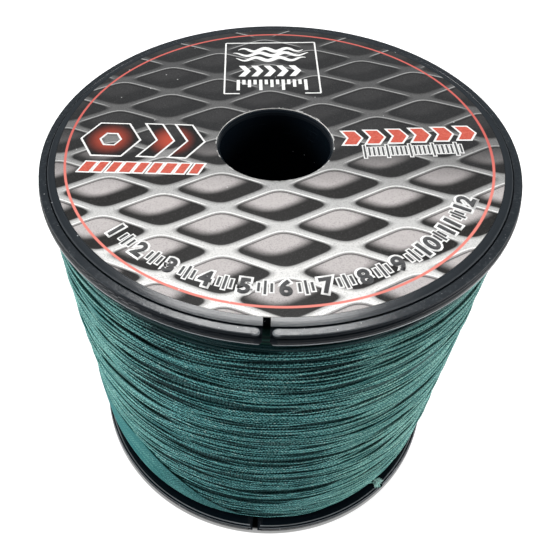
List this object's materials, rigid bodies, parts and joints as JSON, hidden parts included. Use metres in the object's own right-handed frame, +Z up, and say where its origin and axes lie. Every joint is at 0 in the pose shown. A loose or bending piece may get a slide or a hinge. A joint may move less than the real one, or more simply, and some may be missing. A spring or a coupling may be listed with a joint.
{
  "type": "fishing line spool",
  "caption": "Flanged spool of braided fishing line: two plug-together plastic halves with beaded, slitted rims, a spindle bore and a round label.",
  "frame": {"origin": "on the spool's axis, in the plane of the lower face's flat band that it stands on", "axes": "+Z up along the axis through the bore, -Y towards the line slits in both rims, +X to the right seen from the slits"},
  "size_m": [0.068, 0.068, 0.0648],
  "materials": {
    "spool_plastic": "satin moulded black plastic",
    "label_film": "printed glossy adhesive film",
    "braided_line": "dark teal green braided line, slight sheen"
  },
  "bodies": {
    "root": {"upper_half": "spool_plastic", "lower_half": "spool_plastic", "top_label": "label_film", "line_pack": "braided_line", "line_outer_layer": "braided_line", "line_end": "braided_line"}
  },
  "joints": []
}
